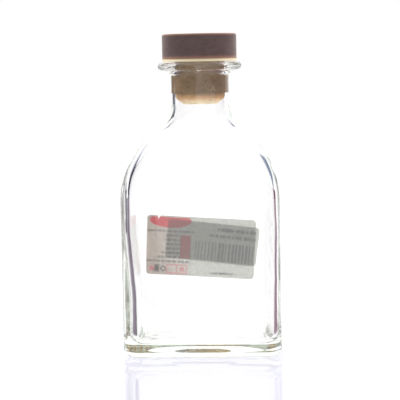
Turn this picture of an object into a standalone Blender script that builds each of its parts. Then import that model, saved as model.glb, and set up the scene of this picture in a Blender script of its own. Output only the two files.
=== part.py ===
"""A flat, square-shouldered bottle of clear glass, closed by a cork with a turned wooden head.

The cork is glued into the head, and two paper stickers overlap on the bottle's back. Metres, +Z up.
The origin is the middle of the foot, at the height that the bottle stands on, and its front faces -Y.
"""

import math
from dataclasses import dataclass

import bmesh
import bpy

# Glass body, outside
BODY_WIDTH = 0.076
BODY_DEPTH = 0.046
CORNER_RADIUS = 0.008
SHOULDER_HEIGHT = 0.0750  # the straight sides end here
SHOULDER_RADIUS = 0.0414  # the arch, seen from the front
NECK_FILLET_RADIUS = 0.0142  # from the arch into the neck, seen from the front
SIDE_FILLET_RADIUS = 0.025  # the same, seen from the side
NECK_LENGTH = 0.0198  # from the end of the fillet to the top of the lip

# Glass body, foot
HEEL_RADIUS = 0.0042
FOOT_RING_WIDTH = 0.0035  # the flat that the bottle stands on
PUSH_UP_DEPTH = 0.0015
FLOOR_THICKNESS = 0.0065  # at the edge of the inner floor
FLOOR_FILLET = 0.0045
FLOOR_CROWN = 0.0008  # the inner floor rises this much to its middle

# Glass body, inside
SIDE_WALL = 0.0032
INNER_CORNER_RADIUS = 0.006
BORE_RADIUS = 0.0122
NECK_WALL = 0.0017
MOUTH_ROUNDING = 0.0008

# Glass lip, a round-edged flange with a small collar below it
LIP_OVERHANG = 0.0063  # past the neck
LIP_EDGE_RADIUS = 0.00195
LIP_UNDERCUT = 0.0007  # how far its underside slopes down to the collar
COLLAR_STEP = 0.0012  # past the neck
COLLAR_HEIGHT = 0.0009

# Stopper
SEAT_GAP = 0.0003  # between pieces that touch
HEAD_HEIGHT = 0.0132
HEAD_SETBACK = 0.0025  # inside the lip's edge
HEAD_EDGE_RADIUS = 0.0011
SOCKET_DEPTH = 0.003
GLUE_THICKNESS = 0.0008
GLUE_SETBACK = 0.0009  # inside the cork's side
SHANK_REACH = 0.0201  # below the top of the lip
SHANK_CHAMFER = 0.0037
SHANK_TOP_CHAMFER = 0.0004

# Stickers, as seen from the front through the glass
PAPER_THICKNESS = 0.0001
STICKER_CORNER = 0.0018
PRODUCT_WIDTH = 0.055
PRODUCT_HEIGHT = 0.030
PRODUCT_SIDE_SHIFT = -0.0028
PRODUCT_LEVEL = 0.048
PRODUCT_TILT = math.radians(3.6)
BARCODE_WIDTH = 0.0458
BARCODE_HEIGHT = 0.0196
BARCODE_SIDE_SHIFT = 0.0032
BARCODE_LEVEL = 0.0502
BARCODE_TILT = math.radians(6.7)

# Fineness of the curves
SIDE_STEPS = 2
CORNER_STEPS = 8
FACE_STEPS = 6
HEEL_STEPS = 5
ARCH_STEPS = 12
FILLET_STEPS = 7
FLOOR_FILLET_STEPS = 5
LIP_STEPS = 8
MOUTH_STEPS = 3
HEAD_EDGE_STEPS = 4
STICKER_CORNER_STEPS = 4
TURNED_STEPS = 64
PUSH_UP_SHARES = (0.35, 0.7, 0.9)  # rings of the push-up, from its middle
FLOOR_SHARES = (0.85, 0.5)  # rings of the inner floor, towards its middle

QUARTER_TURN = math.pi / 2
SHARP_ANGLE = math.radians(35)
MERGE_DISTANCE = 1e-6
UP = (0, 0, 1)
ORIGIN = (0, 0, 0)


@dataclass(frozen=True)
class Section:
    """A level cut through the glass: a rounded rectangle, or a circle when all three are equal."""

    half_x: float
    half_y: float
    corner: float
    height: float
    evenness: float = 0  # 0 crowds the points at the corners, 1 spreads them evenly

    def reach(self, angle):
        """Distance from the axis to the outline in this direction."""
        along_x, along_y = abs(math.cos(angle)), abs(math.sin(angle))
        flat_x, flat_y = self.half_x - self.corner, self.half_y - self.corner
        if along_y * self.half_x <= flat_y * along_x:
            return self.half_x / along_x
        if along_x * self.half_y <= flat_x * along_y:
            return self.half_y / along_y
        towards = flat_x * along_x + flat_y * along_y
        return towards + math.sqrt(towards**2 - flat_x**2 - flat_y**2 + self.corner**2)

    def inset(self, by, height):
        """This outline drawn in on all sides, at another height."""
        return Section(self.half_x - by, self.half_y - by, self.corner - by, height)

    def shrunk(self, share, height):
        """This outline scaled about the axis, at another height."""
        return Section(self.half_x * share, self.half_y * share, self.corner * share, height)

    def points(self):
        """The outline's points, anticlockwise from +X."""
        reaches = [(angle, self.reach(angle)) for angle in ring_angles(self.evenness)]
        return [(r * math.cos(a), r * math.sin(a), self.height) for a, r in reaches]


@dataclass(frozen=True)
class Skin:
    """One side of the glass wall from the straight body to the neck."""

    half_x: float
    half_y: float
    corner: float
    neck: float
    arch: float
    front_fillet: float
    side_fillet: float

    def rise(self):
        """Height from the end of the straight sides to the neck."""
        across = self.neck + self.front_fillet - (self.half_x - self.arch)
        return math.sqrt((self.arch + self.front_fillet) ** 2 - across**2)

    def side_arch(self):
        """Radius of the arch seen from the side, which starts and ends level with the front one."""
        past_side = self.neck + self.side_fillet - self.half_y
        squares = self.rise() ** 2 + past_side**2 - self.side_fillet**2
        return squares / (2 * (self.half_y - self.neck))

    def climbs(self):
        """Heights above the straight sides, spaced evenly along the front curve."""
        rise = self.rise()
        lean = math.asin(rise / (self.arch + self.front_fillet))
        arch = [self.arch * math.sin(lean * i / ARCH_STEPS) for i in range(ARCH_STEPS)]
        ease = [math.sin(lean * i / FILLET_STEPS) for i in range(FILLET_STEPS, -1, -1)]
        return arch + [rise - self.front_fillet * share for share in ease]

    def shoulder(self):
        """The sections from the end of the straight sides to the neck."""
        rise = self.rise()
        sections = []
        for climb in self.climbs():
            half_x = half_size(climb, rise, self.half_x, self.neck, self.arch, self.front_fillet)
            half_y = half_size(climb, rise, self.half_y, self.neck, self.side_arch(), self.side_fillet)
            share = climb / rise
            ease = share * share * (3 - 2 * share)
            corner = self.corner + (min(half_x, half_y) - self.corner) * ease
            sections.append(Section(half_x, half_y, corner, SHOULDER_HEIGHT + climb, ease))
        return sections

    def straight(self, height):
        """The section of the straight body at this height."""
        return Section(self.half_x, self.half_y, self.corner, height)


def half_size(climb, rise, half, neck, arch, fillet):
    """Half the shoulder's width or depth at this climb: an arch, then a fillet into the neck."""
    if climb <= rise * arch / (arch + fillet):
        return half - arch + math.sqrt(arch**2 - climb**2)
    return neck + fillet - math.sqrt(fillet**2 - (rise - climb) ** 2)


def ring_angles(evenness):
    """Directions of a ring's points, the same number for every section."""
    corner_from = math.atan2(BODY_DEPTH / 2 - CORNER_RADIUS, BODY_WIDTH / 2)
    corner_to = math.atan2(BODY_DEPTH / 2, BODY_WIDTH / 2 - CORNER_RADIUS)
    spans = (
        (0, corner_from, SIDE_STEPS),
        (corner_from, corner_to, CORNER_STEPS),
        (corner_to, QUARTER_TURN, FACE_STEPS),
    )
    crowded = [a + (b - a) * i / steps for a, b, steps in spans for i in range(steps)]
    quarter = []
    for i, angle in enumerate(crowded):
        even = QUARTER_TURN * i / len(crowded)
        quarter.append(angle + (even - angle) * evenness)
    half = quarter + [math.pi - angle for angle in [QUARTER_TURN] + quarter[:0:-1]]
    return half + [angle + math.pi for angle in half]


def circle(radius, height):
    """A round section."""
    return Section(radius, radius, radius, height, 1)


def arc(radius, start, end, steps):
    """Offsets (sideways, up) along an arc, from one angle to another."""
    angles = [start + (end - start) * i / steps for i in range(steps + 1)]
    return [(radius * math.cos(a), radius * math.sin(a)) for a in angles]


NECK_RADIUS = BORE_RADIUS + NECK_WALL
OUTER = Skin(
    half_x=BODY_WIDTH / 2,
    half_y=BODY_DEPTH / 2,
    corner=CORNER_RADIUS,
    neck=NECK_RADIUS,
    arch=SHOULDER_RADIUS,
    front_fillet=NECK_FILLET_RADIUS,
    side_fillet=SIDE_FILLET_RADIUS,
)
INNER = Skin(
    half_x=OUTER.half_x - SIDE_WALL,
    half_y=OUTER.half_y - SIDE_WALL,
    corner=INNER_CORNER_RADIUS,
    neck=BORE_RADIUS,
    arch=SHOULDER_RADIUS - SIDE_WALL,
    front_fillet=NECK_FILLET_RADIUS + NECK_WALL,
    side_fillet=SIDE_FILLET_RADIUS + NECK_WALL,
)
LIP_TOP = SHOULDER_HEIGHT + OUTER.rise() + NECK_LENGTH
LIP_RADIUS = NECK_RADIUS + LIP_OVERHANG
SHANK_RADIUS = BORE_RADIUS - SEAT_GAP


def foot_sections():
    """From the middle of the push-up, over the flat ring, round the heel to the straight sides."""
    ring_outer = OUTER.straight(0).inset(HEEL_RADIUS, 0)
    corner = max(ring_outer.corner, FOOT_RING_WIDTH)
    ring_inner = Section(
        ring_outer.half_x - FOOT_RING_WIDTH, ring_outer.half_y - FOOT_RING_WIDTH, corner, 0
    )
    domed = [ring_inner.shrunk(s, PUSH_UP_DEPTH * (1 - s**2)) for s in PUSH_UP_SHARES]
    heel = [
        OUTER.straight(0).inset(HEEL_RADIUS - out, HEEL_RADIUS + up)
        for out, up in arc(HEEL_RADIUS, -QUARTER_TURN, 0, HEEL_STEPS)
    ]
    return domed + [ring_inner] + heel


def lip_sections():
    """From the collar's foot, out round the lip's edge and in over the mouth to the bore."""
    slope_end = LIP_TOP - 2 * LIP_EDGE_RADIUS - LIP_UNDERCUT
    collar_low = slope_end - COLLAR_HEIGHT
    collar_radius = NECK_RADIUS + COLLAR_STEP
    collar = [
        circle(NECK_RADIUS, collar_low - COLLAR_STEP),
        circle(collar_radius, collar_low),
        circle(collar_radius, slope_end),
    ]
    edge = [
        circle(LIP_RADIUS - LIP_EDGE_RADIUS + out, LIP_TOP - LIP_EDGE_RADIUS + up)
        for out, up in arc(LIP_EDGE_RADIUS, -QUARTER_TURN, QUARTER_TURN, LIP_STEPS)
    ]
    mouth = [
        circle(BORE_RADIUS + MOUTH_ROUNDING + out, LIP_TOP - MOUTH_ROUNDING + up)
        for out, up in arc(MOUTH_ROUNDING, QUARTER_TURN, math.pi, MOUTH_STEPS)
    ]
    return collar + edge + mouth


def inner_sections():
    """Down inside the glass from the bore to the middle of the floor."""
    fillet = [
        INNER.straight(0).inset(FLOOR_FILLET - out, FLOOR_THICKNESS + FLOOR_FILLET + up)
        for out, up in arc(FLOOR_FILLET, 0, -QUARTER_TURN, FLOOR_FILLET_STEPS)
    ]
    floor = [
        fillet[-1].shrunk(s, FLOOR_THICKNESS + FLOOR_CROWN * (1 - s**2)) for s in FLOOR_SHARES
    ]
    return INNER.shoulder()[::-1] + fillet + floor


def new_object(name, shape, material, parent=None):
    """Turns a bmesh into a named object that is smooth except at its real edges."""
    bmesh.ops.recalc_face_normals(shape, faces=shape.faces)
    mesh = bpy.data.meshes.new(name)
    shape.to_mesh(mesh)
    shape.free()
    mesh.shade_smooth()
    mesh.set_sharp_from_angle(angle=SHARP_ANGLE)
    mesh.materials.append(material)
    piece = bpy.data.objects.new(name, mesh)
    bpy.context.scene.collection.objects.link(piece)
    piece.parent = parent
    return piece


def new_material(name, colour, roughness, transmission=0):
    """A Principled material in one plain colour."""
    material = bpy.data.materials.new(name)
    material.use_nodes = True
    surface = material.node_tree.nodes["Principled BSDF"]
    surface.inputs["Base Color"].default_value = (*colour, 1)
    surface.inputs["Roughness"].default_value = roughness
    surface.inputs["Metallic"].default_value = 0
    surface.inputs["Transmission Weight"].default_value = transmission
    return material


def lofted(name, sections, low_middle, high_middle, material):
    """Skins a closed body over a row of sections, whose ends close on two points of the axis."""
    shape = bmesh.new()
    rings = [[shape.verts.new(point) for point in section.points()] for section in sections]
    for lower, upper in zip(rings, rings[1:]):
        for i in range(len(lower)):
            shape.faces.new((lower[i - 1], lower[i], upper[i], upper[i - 1]))
    for ring, height in ((rings[0], low_middle), (rings[-1], high_middle)):
        middle = shape.verts.new((0, 0, height))
        for i in range(len(ring)):
            shape.faces.new((ring[i - 1], ring[i], middle))
    return new_object(name, shape, material)


def turned(name, outline, material, parent):
    """Spins an outline of (radius, height) points, whose ends lie on the axis."""
    shape = bmesh.new()
    points = [shape.verts.new((radius, 0, height)) for radius, height in outline]
    edges = [shape.edges.new(pair) for pair in zip(points, points[1:])]
    bmesh.ops.spin(
        shape,
        geom=points + edges,
        cent=ORIGIN,
        axis=UP,
        angle=2 * math.pi,
        steps=TURNED_STEPS,
        use_merge=True,
    )
    bmesh.ops.remove_doubles(shape, verts=shape.verts, dist=MERGE_DISTANCE)
    return new_object(name, shape, material, parent)


def bottle(material):
    """The glass: foot, lofted body and shoulders, neck, collar and lip, hollow inside."""
    sections = foot_sections() + OUTER.shoulder() + lip_sections() + inner_sections()
    floor_middle = FLOOR_THICKNESS + FLOOR_CROWN
    return lofted("bottle", sections, PUSH_UP_DEPTH, floor_middle, material)


def stopper_head(material, parent):
    """A turned wooden disc with softened edges and a socket below for the cork."""
    radius = LIP_RADIUS - HEAD_SETBACK
    socket = SHANK_RADIUS + SEAT_GAP
    middle = radius - HEAD_EDGE_RADIUS
    low = SEAT_GAP + HEAD_EDGE_RADIUS
    high = SEAT_GAP + HEAD_HEIGHT - HEAD_EDGE_RADIUS
    lower = arc(HEAD_EDGE_RADIUS, -QUARTER_TURN, 0, HEAD_EDGE_STEPS)
    upper = arc(HEAD_EDGE_RADIUS, 0, QUARTER_TURN, HEAD_EDGE_STEPS)
    outline = [(0, SEAT_GAP + SOCKET_DEPTH), (socket, SEAT_GAP + SOCKET_DEPTH), (socket, SEAT_GAP)]
    outline += [(middle + out, low + up) for out, up in lower]
    outline += [(middle + out, high + up) for out, up in upper]
    outline.append((0, SEAT_GAP + HEAD_HEIGHT))
    return turned("stopper_head", outline, material, parent)


def glue_disc(material, parent):
    """The adhesive between the cork and the top of the head's socket."""
    high = SOCKET_DEPTH  # one gap below the top of the socket, which starts one gap above the lip
    low = high - GLUE_THICKNESS
    radius = SHANK_RADIUS - GLUE_SETBACK
    outline = [(0, low), (radius, low), (radius, high), (0, high)]
    return turned("glue_disc", outline, material, parent)


def cork_shank(material, parent):
    """The cork: straight, with a long chamfer at the end that goes in first."""
    top = SOCKET_DEPTH - GLUE_THICKNESS - SEAT_GAP
    outline = [
        (0, -SHANK_REACH),
        (SHANK_RADIUS - SHANK_CHAMFER, -SHANK_REACH),
        (SHANK_RADIUS, SHANK_CHAMFER - SHANK_REACH),
        (SHANK_RADIUS, top - SHANK_TOP_CHAMFER),
        (SHANK_RADIUS - SHANK_TOP_CHAMFER, top),
        (0, top),
    ]
    return turned("cork_shank", outline, material, parent)


def sticker(name, width, height, place, tilt, material):
    """A thin plate with rounded corners, flat against the bottle's back and tilted on it."""
    shape = bmesh.new()
    outline = []
    for turn, side_x, side_z in ((0, 1, 1), (1, -1, 1), (2, -1, -1), (3, 1, -1)):
        start = turn * QUARTER_TURN
        corner = arc(STICKER_CORNER, start, start + QUARTER_TURN, STICKER_CORNER_STEPS)
        middle_x = side_x * (width / 2 - STICKER_CORNER)
        middle_z = side_z * (height / 2 - STICKER_CORNER)
        outline += [(middle_x + out, 0, middle_z + up) for out, up in corner]
    front = shape.faces.new([shape.verts.new(point) for point in outline])
    back = bmesh.ops.extrude_face_region(shape, geom=[front])["geom"]
    moved = [item for item in back if isinstance(item, bmesh.types.BMVert)]
    bmesh.ops.translate(shape, verts=moved, vec=(0, PAPER_THICKNESS, 0))
    piece = new_object(name, shape, material)
    piece.location = place
    piece.rotation_euler = (0, tilt, 0)
    return piece


def build():
    """Clears the scene and makes every piece."""
    for old in list(bpy.data.objects):
        bpy.data.objects.remove(old)

    bottle(new_material("clear_glass", (0.93, 0.96, 0.95), 0.02, 1))

    stopper_axis = bpy.data.objects.new("stopper_axis", None)
    stopper_axis.location = (0, 0, LIP_TOP)
    bpy.context.scene.collection.objects.link(stopper_axis)
    stopper_head(new_material("dark_wood", (0.13, 0.085, 0.08), 0.6), stopper_axis)
    glue_disc(new_material("dry_glue", (0.85, 0.78, 0.55), 0.35), stopper_axis)
    cork_shank(new_material("cork", (0.45, 0.30, 0.18), 0.85), stopper_axis)

    paper = new_material("paper", (0.72, 0.70, 0.68), 0.8)
    product_back = BODY_DEPTH / 2 + SEAT_GAP
    barcode_back = product_back + PAPER_THICKNESS + SEAT_GAP
    sticker(
        "product_label",
        PRODUCT_WIDTH,
        PRODUCT_HEIGHT,
        (PRODUCT_SIDE_SHIFT, product_back, PRODUCT_LEVEL),
        PRODUCT_TILT,
        paper,
    )
    sticker(
        "barcode_label",
        BARCODE_WIDTH,
        BARCODE_HEIGHT,
        (BARCODE_SIDE_SHIFT, barcode_back, BARCODE_LEVEL),
        BARCODE_TILT,
        paper,
    )


if __name__ == "__main__":
    build()
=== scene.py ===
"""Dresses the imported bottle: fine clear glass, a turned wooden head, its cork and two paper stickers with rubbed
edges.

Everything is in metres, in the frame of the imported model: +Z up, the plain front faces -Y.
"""

import logging
import math
from dataclasses import dataclass
from enum import Enum
from typing import Callable, Iterable, Optional, Sequence, Union

import bmesh
import bpy
import numpy as np
from mathutils import Matrix, Vector


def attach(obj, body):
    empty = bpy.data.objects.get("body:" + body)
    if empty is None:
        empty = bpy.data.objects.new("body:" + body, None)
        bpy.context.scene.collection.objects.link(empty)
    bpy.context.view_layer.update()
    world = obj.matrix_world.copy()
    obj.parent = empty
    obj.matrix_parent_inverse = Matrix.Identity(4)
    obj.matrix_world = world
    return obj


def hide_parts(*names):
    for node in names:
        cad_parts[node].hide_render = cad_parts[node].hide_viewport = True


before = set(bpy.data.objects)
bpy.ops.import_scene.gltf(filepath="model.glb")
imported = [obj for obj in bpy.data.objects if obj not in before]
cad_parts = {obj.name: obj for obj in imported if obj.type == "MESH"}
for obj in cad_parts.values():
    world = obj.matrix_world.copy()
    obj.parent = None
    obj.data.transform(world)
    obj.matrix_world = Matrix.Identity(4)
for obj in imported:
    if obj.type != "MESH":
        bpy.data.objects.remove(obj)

LOG = logging.getLogger("bottle")
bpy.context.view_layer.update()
QUARTER_TURN = math.pi / 2
FULL_TURN = 2 * math.pi
SHARP_ANGLE = math.radians(35)
MERGE_DISTANCE = 1e-6

Span = tuple[float, float]
Colour = tuple[float, float, float]
Place = tuple[float, float, float]
Edges = tuple[float, float, float, float]
Socket = bpy.types.NodeSocket
Sockets = dict[str, Socket]
Value = Union[float, Sequence[float], Socket]

WHITE: Colour = (1.0, 1.0, 1.0)
BLACK: Colour = (0.0, 0.0, 0.0)
GLARE: Colour = (1.12, 1.12, 1.12)
NOISE_MIDDLE: Span = (0.3, 0.7)
PRINT_EDGES = {"X": 0.0, "Z": 0.0, "Left": -0.01, "Right": 0.01, "Low": -0.01, "High": 0.01}


class Body(Enum):
    """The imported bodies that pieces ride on."""

    BOTTLE = "bottle"
    STOPPER = "stopper"


class Slot(Enum):
    """The record's material slots."""

    GLASS = "glass"
    HEAD_WOOD = "head_wood"
    CORK = "cork"
    GLUE = "glue"
    PRODUCT_PAPER = "product_paper"
    BARCODE_PAPER = "barcode_paper"


class Border(Enum):
    """How far a printed mask fades at its borders, in metres."""

    CRISP = 0.00006
    SOFT = 0.00025


def tone(red: int, green: int, blue: int) -> Colour:
    """A linear colour from screen values of 0 to 255."""
    shares = [value / 255 for value in (red, green, blue)]
    return tuple(s / 12.92 if s <= 0.04045 else ((s + 0.055) / 1.055) ** 2.4 for s in shares)


class Graph:
    """Adds nodes to one node tree and links them as they are made."""

    def __init__(self, tree: bpy.types.NodeTree) -> None:
        """Keeps the tree.

        Args:
            tree: the node tree of a material, the world or a group.
        """
        self.tree = tree

    def feed(self, socket: Socket, value: Value) -> None:
        """Links a socket into an input, or sets the input's own value.

        Args:
            socket: the input.
            value: another node's output, a number or a colour.
        """
        if isinstance(value, Socket):
            self.tree.links.new(value, socket)
        elif hasattr(socket.default_value, "__len__"):
            parts = list(value) if hasattr(value, "__len__") else [value] * 3
            parts += [1.0] * (len(socket.default_value) - len(parts))
            socket.default_value = parts
        else:
            socket.default_value = value

    def fill(self, node: bpy.types.Node, inputs: dict[Union[str, int], Value]) -> None:
        """Feeds several inputs of one node.

        Args:
            node: the node.
            inputs: values or links by input name or number.
        """
        for name, value in inputs.items():
            self.feed(node.inputs[name], value)

    def node(
        self, kind: str, inputs: Optional[dict[Union[str, int], Value]] = None, **settings: object
    ) -> bpy.types.Node:
        """Adds a node.

        Args:
            kind: Blender's name for the node type.
            inputs: values or links by input name or number.
            **settings: the node's own properties.

        Returns:
            The new node.
        """
        node = self.tree.nodes.new(kind)
        for name, setting in settings.items():
            setattr(node, name, setting)
        self.fill(node, inputs or {})
        return node

    def math(self, operation: str, first: Value, second: Value = 0.0, clamp: bool = False) -> Socket:
        """The result of a Math node."""
        return self.node("ShaderNodeMath", {0: first, 1: second}, operation=operation, use_clamp=clamp).outputs[0]

    def product(self, *values: Value) -> Socket:
        """Multiplies numbers.

        Args:
            *values: the numbers, two or more.

        Returns:
            All of them multiplied together.
        """
        total = values[0]
        for value in values[1:]:
            total = self.math("MULTIPLY", total, value)
        return total

    def union(self, *masks: Value) -> Socket:
        """Joins masks.

        Args:
            *masks: the masks, two or more.

        Returns:
            The largest of them at each point.
        """
        joined = masks[0]
        for mask in masks[1:]:
            joined = self.math("MAXIMUM", joined, mask)
        return joined

    def mix(self, share: Value, low: Value, high: Value) -> Socket:
        """Mixes two colours.

        Args:
            share: how much of the second shows, from 0 to 1.
            low: the first colour.
            high: the second colour.

        Returns:
            The mixed colour.
        """
        node = self.node("ShaderNodeMix", data_type="RGBA")
        self.fill(node, {0: share, 6: low, 7: high})
        return node.outputs[2]

    def shaded(self, colour: Value, shade: Value) -> Socket:
        """A colour made lighter or darker by a number."""
        return self.node("ShaderNodeVectorMath", {0: colour, "Scale": shade}, operation="SCALE").outputs[0]

    def span(self, value: Value, start: Value, end: Value, low: Value = 0.0, high: Value = 1.0) -> Socket:
        """A value carried smoothly from one range into another, and held past its ends."""
        inputs = {0: value, 1: start, 2: end, 3: low, 4: high}
        return self.node("ShaderNodeMapRange", inputs, interpolation_type="SMOOTHSTEP").outputs[0]

    def band(self, value: Value, start: Value, end: Value, fade: float) -> Socket:
        """Marks a range.

        Args:
            value: the number to test.
            start: lower end of the range.
            end: upper end of the range.
            fade: how far the mask fades to each side of an end.

        Returns:
            1 between the two ends and 0 outside them.
        """
        after = self.span(value, self.math("SUBTRACT", start, fade), self.math("ADD", start, fade))
        before = self.span(value, self.math("SUBTRACT", end, fade), self.math("ADD", end, fade), 1.0, 0.0)
        return self.math("MULTIPLY", after, before)

    def place(self, output: str = "Object") -> Socket:
        """One of the texture coordinates."""
        return self.node("ShaderNodeTexCoord").outputs[output]

    def axes(self, vector: Socket) -> tuple[Socket, ...]:
        """The three parts of a vector."""
        return tuple(self.node("ShaderNodeSeparateXYZ", {0: vector}).outputs)

    def vector(self, x: Value = 0.0, y: Value = 0.0, z: Value = 0.0) -> Socket:
        """A vector from its three parts."""
        return self.node("ShaderNodeCombineXYZ", {0: x, 1: y, 2: z}).outputs[0]

    def stretched(self, vector: Socket, scale: Sequence[float]) -> Socket:
        """A vector with each part multiplied by its own number."""
        return self.node("ShaderNodeMapping", {"Vector": vector, "Scale": scale}).outputs[0]

    def heading(self, x: Value, y: Value) -> Socket:
        """Degrees round the upright axis from straight behind, positive to the right."""
        return self.math("DEGREES", self.math("ARCTAN2", x, y))

    def noise(self, vector: Value, scale: Value, detail: float = 3.0, rough: float = 0.55) -> Socket:
        """Noise between 0 and 1."""
        inputs = {"Vector": vector, "Scale": scale, "Detail": detail, "Roughness": rough}
        return self.node("ShaderNodeTexNoise", inputs).outputs[0]

    def relief(self, height: Value, distance: float, strength: float = 1.0, invert: bool = False) -> Socket:
        """The normal of a surface with this relief."""
        inputs = {"Height": height, "Distance": distance, "Strength": strength}
        return self.node("ShaderNodeBump", inputs, invert=invert).outputs[0]

    def glow(self, colour: Value, strength: Value) -> Socket:
        """A surface that shows its colour under any light."""
        return self.node("ShaderNodeEmission", {"Color": colour, "Strength": strength}).outputs[0]

    def blend(self, share: Value, low: Socket, high: Socket) -> Socket:
        """A surface between two others."""
        return self.node("ShaderNodeMixShader", {0: share, 1: low, 2: high}).outputs[0]

    def show(self, shader: Socket, as_what: str = "Surface") -> None:
        """Leads a shader to the material's output."""
        self.feed(self.tree.nodes["Material Output"].inputs[as_what], shader)


def group(
    name: str, inputs: dict[str, float], outputs: Iterable[str], fill: Callable[[Graph, Sockets], Sockets]
) -> bpy.types.NodeTree:
    """Makes a shader node group once.

    Args:
        name: the group's name.
        inputs: its number inputs and their usual values.
        outputs: its number outputs.
        fill: takes the graph and the inputs by name, and returns the outputs by name.

    Returns:
        The group's tree, the same one on every call.
    """
    known = bpy.data.node_groups.get(name)
    if known:
        return known
    tree = bpy.data.node_groups.new(name, "ShaderNodeTree")
    for label, usual in inputs.items():
        socket = tree.interface.new_socket(label, in_out="INPUT", socket_type="NodeSocketFloat")
        socket.default_value = usual
    for label in outputs:
        tree.interface.new_socket(label, in_out="OUTPUT", socket_type="NodeSocketFloat")
    graph = Graph(tree)
    entry, leave = graph.node("NodeGroupInput"), graph.node("NodeGroupOutput")
    graph.fill(leave, fill(graph, {label: entry.outputs[label] for label in inputs}))
    return tree


def use(graph: Graph, tree: bpy.types.NodeTree, **inputs: Value) -> bpy.types.Node:
    """Places a group in a material.

    Args:
        graph: the material's graph.
        tree: the group.
        **inputs: the group's inputs, where underscores in the names stand for spaces.

    Returns:
        The group's node.
    """
    named = {name.replace("_", " "): value for name, value in inputs.items()}
    node = graph.node("ShaderNodeGroup", node_tree=tree)
    graph.fill(node, named)
    return node


def mottle() -> bpy.types.NodeTree:
    """Soft patches of lighter and darker tone, used by wood, cork, glue and paper.

    Returns:
        The group, with the inputs Scale and Strength and the output Shade.
    """
    finer, broad_share, fine_share = 5.3, 0.65, 0.35

    def fill(graph: Graph, given: Sockets) -> Sockets:
        """Two sizes of noise, pulled towards the middle tone by Strength.

        Args:
            graph: the group's graph.
            given: the group's inputs by name.

        Returns:
            The group's outputs by name.
        """
        broad = graph.noise(graph.place(), given["Scale"], detail=2.0)
        fine = graph.noise(graph.place(), graph.product(given["Scale"], finer), detail=3.0)
        both = graph.math("ADD", graph.product(broad, broad_share), graph.product(fine, fine_share))
        away = graph.product(graph.math("SUBTRACT", both, 0.5), given["Strength"])
        return {"Shade": graph.math("ADD", away, 1.0)}

    return group("mottle", {"Scale": 120.0, "Strength": 0.4}, ("Shade",), fill)


def pits() -> bpy.types.NodeTree:
    """Small irregular dark pits, used by cork, wood and the specks of paper.

    Returns:
        The group, with the inputs Scale and Size and the output Mask.
    """
    bend_scale, bend_x, bend_z = 0.8, 0.002, 0.001
    patch_scale, patch_from, patch_to = 0.31, 0.45, 0.62

    def fill(graph: Graph, given: Sockets) -> Sockets:
        """Cells whose middles are kept where a coarser noise allows them.

        Args:
            graph: the group's graph.
            given: the group's inputs by name.

        Returns:
            The group's outputs by name.
        """
        bent = graph.noise(graph.place(), graph.product(given["Scale"], bend_scale), detail=2.0)
        bend = graph.vector(graph.product(bent, bend_x), 0.0, graph.product(bent, bend_z))
        spot = graph.node("ShaderNodeVectorMath", {0: graph.place(), 1: bend}, operation="ADD").outputs[0]
        cell = graph.node("ShaderNodeTexVoronoi", {"Vector": spot, "Scale": given["Scale"]}).outputs["Distance"]
        near = graph.span(cell, 0.0, given["Size"], 1.0, 0.0)
        coarse = graph.noise(graph.place(), graph.product(given["Scale"], patch_scale), detail=2.0)
        return {"Mask": graph.product(near, graph.span(coarse, patch_from, patch_to))}

    return group("pits", {"Scale": 700.0, "Size": 0.35}, ("Mask",), fill)


def fibres() -> bpy.types.NodeTree:
    """The short crossing fibres of paper, used by both stickers.

    Returns:
        The group, with the inputs Scale and Strength and the outputs Shade and Height.
    """
    upright, level = (1.0, 1.0, 4.0), (4.0, 1.0, 1.2)

    def fill(graph: Graph, given: Sockets) -> Sockets:
        """Noise drawn out along two directions.

        Args:
            graph: the group's graph.
            given: the group's inputs by name.

        Returns:
            The group's outputs by name.
        """
        along, across = (
            graph.noise(graph.stretched(graph.place(), stretch), given["Scale"], detail=4.0, rough=0.7)
            for stretch in (upright, level)
        )
        both = graph.math("ADD", graph.product(along, 0.5), graph.product(across, 0.5))
        away = graph.product(graph.math("SUBTRACT", both, 0.5), given["Strength"])
        return {"Shade": graph.math("ADD", away, 1.0), "Height": both}

    return group("fibres", {"Scale": 900.0, "Strength": 0.25}, ("Shade", "Height"), fill)


def printed_block() -> bpy.types.NodeTree:
    """A plain printed rectangle, placed by its edges on the sticker.

    Returns:
        The group, with the place, the four edges and the output Mask.
    """

    def fill(graph: Graph, given: Sockets) -> Sockets:
        """One band across and one band up.

        Args:
            graph: the group's graph.
            given: the group's inputs by name.

        Returns:
            The group's outputs by name.
        """
        across = graph.band(given["X"], given["Left"], given["Right"], Border.SOFT.value)
        upward = graph.band(given["Z"], given["Low"], given["High"], Border.SOFT.value)
        return {"Mask": graph.product(across, upward)}

    return group("printed_block", PRINT_EDGES, ("Mask",), fill)


def printed_oval() -> bpy.types.NodeTree:
    """A plain printed oval, placed by its middle and its half sizes on the sticker.

    Returns:
        The group, with the place, the middle, the half sizes and the output Mask.
    """
    inner, outer = 0.9, 1.1

    def fill(graph: Graph, given: Sockets) -> Sockets:
        """The distance from the middle, counted in half sizes.

        Args:
            graph: the group's graph.
            given: the group's inputs by name.

        Returns:
            The group's outputs by name.
        """
        across, upward = (
            graph.math("DIVIDE", graph.math("SUBTRACT", given[axis], given[f"Middle {axis}"]), given[f"Half {axis}"])
            for axis in ("X", "Z")
        )
        away = graph.math("ADD", graph.product(across, across), graph.product(upward, upward))
        return {"Mask": graph.span(away, inner, outer, 1.0, 0.0)}

    names = {"X": 0.0, "Z": 0.0, "Middle X": 0.0, "Middle Z": 0.0, "Half X": 0.01, "Half Z": 0.002}
    return group("printed_oval", names, ("Mask",), fill)


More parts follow.
